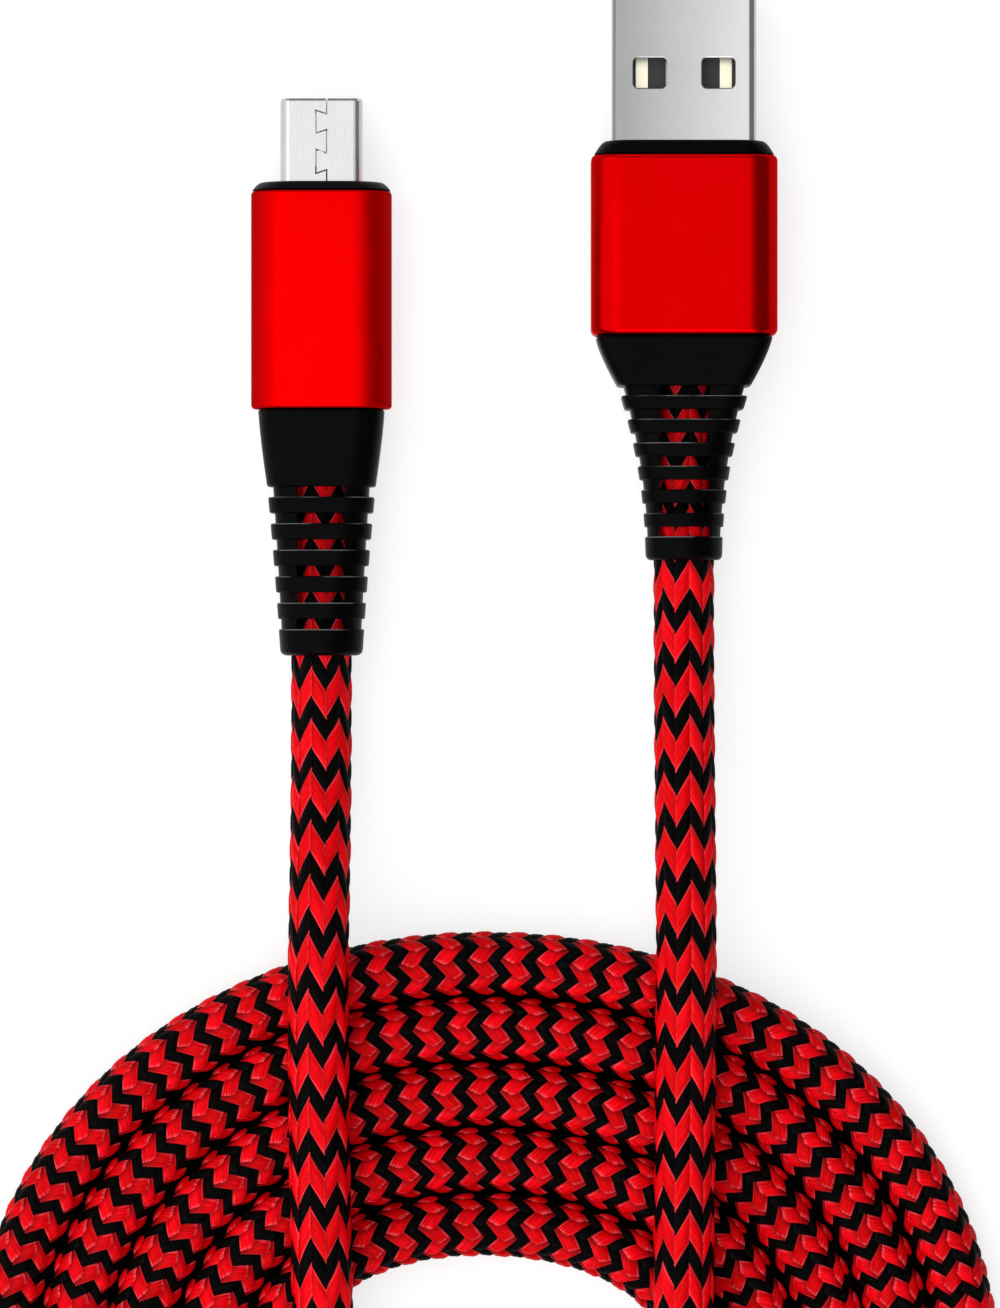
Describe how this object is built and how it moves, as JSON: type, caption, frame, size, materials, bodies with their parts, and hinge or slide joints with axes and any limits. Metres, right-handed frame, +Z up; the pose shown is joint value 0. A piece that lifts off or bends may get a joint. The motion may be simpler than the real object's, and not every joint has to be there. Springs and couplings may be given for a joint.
{
  "type": "usb charging cable",
  "caption": "Braided red and black charging cable with a USB-A plug and a Micro-B plug in red metal housings, its slack wound in a flat oval coil.",
  "frame": {"origin": "Bottom centre of the box round the two plugs and their boots, on the surface that the cable lies on.", "axes": "+Y is the way both plugs point, +Z is up from the surface, and +X runs from the Micro-B plug to the USB-A plug."},
  "size_m": [0.0863, 0.1607, 0.0106],
  "materials": {
    "shell_steel": "nickel-plated stamped steel, satin",
    "insulator_black": "moulded black nylon",
    "contact_gold": "gold-flashed copper alloy",
    "collar_black": "moulded black plastic, fine satin",
    "anodised_red": "satin red anodised aluminium",
    "boot_black": "moulded black flexible plastic, satin",
    "mould_white": "white polythene inner moulding",
    "jacket_black": "black PVC jacket under the braid",
    "braid_red_black": "nylon braid in red and black zigzags",
    "wire_power": "red PVC insulation",
    "wire_ground": "black PVC insulation",
    "wire_data_plus": "green PVC insulation",
    "wire_data_minus": "white PVC insulation"
  },
  "bodies": {
    "base": {"usb_a_shell": "shell_steel", "usb_a_insulator": "insulator_black", "usb_a_contact_ground": "contact_gold", "usb_a_contact_data_plus": "contact_gold", "usb_a_contact_data_minus": "contact_gold", "usb_a_contact_power": "contact_gold", "usb_a_collar": "collar_black", "usb_a_housing": "anodised_red", "usb_a_boot": "boot_black", "usb_a_inner_mould": "mould_white", "usb_a_cable_clamp": "shell_steel", "usb_a_jacket": "jacket_black", "usb_a_cable_tail": "braid_red_black", "usb_a_wire_ground": "wire_ground", "usb_a_wire_data_plus": "wire_data_plus", "usb_a_wire_data_minus": "wire_data_minus", "usb_a_wire_power": "wire_power", "micro_shell": "shell_steel", "micro_insulator": "insulator_black", "micro_solder_tail_1": "contact_gold", "micro_solder_tail_2": "contact_gold", "micro_solder_tail_3": "contact_gold", "micro_solder_tail_4": "contact_gold", "micro_solder_tail_5": "contact_gold", "micro_collar": "collar_black", "micro_housing": "anodised_red", "micro_boot": "boot_black", "micro_inner_mould": "mould_white", "micro_cable_clamp": "shell_steel", "micro_jacket": "jacket_black", "micro_cable_tail": "braid_red_black", "micro_wire_ground": "wire_ground", "micro_wire_data_plus": "wire_data_plus", "micro_wire_data_minus": "wire_data_minus", "micro_wire_power": "wire_power", "micro_lead": "braid_red_black", "cable_coil": "braid_red_black", "usb_a_lead": "braid_red_black"},
    "micro_latch_left_body": {"micro_latch_left": "shell_steel"},
    "micro_latch_right_body": {"micro_latch_right": "shell_steel"},
    "micro_contact_1_body": {"micro_contact_1": "contact_gold"},
    "micro_contact_2_body": {"micro_contact_2": "contact_gold"},
    "micro_contact_3_body": {"micro_contact_3": "contact_gold"},
    "micro_contact_4_body": {"micro_contact_4": "contact_gold"},
    "micro_contact_5_body": {"micro_contact_5": "contact_gold"}
  },
  "joints": [
    {"name": "latch_left_bend", "type": "hinge", "parent": "base", "child": "micro_latch_left_body", "pos_m": [-0.01845, 0.01286, 0.00325], "axis": [1, 0, 0], "range_deg": [0, 5.7], "stiffness_Nm_per_rad": 0.04},
    {"name": "latch_right_bend", "type": "hinge", "parent": "base", "child": "micro_latch_right_body", "pos_m": [-0.01365, 0.01286, 0.00325], "axis": [1, 0, 0], "range_deg": [0, 5.7], "stiffness_Nm_per_rad": 0.04},
    {"name": "contact_1_bend", "type": "hinge", "parent": "base", "child": "micro_contact_1_body", "pos_m": [-0.01735, 0.01286, 0.0041], "axis": [1, 0, 0], "range_deg": [0, 1.8], "stiffness_Nm_per_rad": 0.02},
    {"name": "contact_2_bend", "type": "hinge", "parent": "base", "child": "micro_contact_2_body", "pos_m": [-0.0167, 0.01286, 0.0041], "axis": [1, 0, 0], "range_deg": [0, 1.8], "stiffness_Nm_per_rad": 0.02},
    {"name": "contact_3_bend", "type": "hinge", "parent": "base", "child": "micro_contact_3_body", "pos_m": [-0.01605, 0.01286, 0.0041], "axis": [1, 0, 0], "range_deg": [0, 1.8], "stiffness_Nm_per_rad": 0.02},
    {"name": "contact_4_bend", "type": "hinge", "parent": "base", "child": "micro_contact_4_body", "pos_m": [-0.0154, 0.01286, 0.0041], "axis": [1, 0, 0], "range_deg": [0, 1.8], "stiffness_Nm_per_rad": 0.02},
    {"name": "contact_5_bend", "type": "hinge", "parent": "base", "child": "micro_contact_5_body", "pos_m": [-0.01475, 0.01286, 0.0041], "axis": [1, 0, 0], "range_deg": [0, 1.8], "stiffness_Nm_per_rad": 0.02}
  ]
}
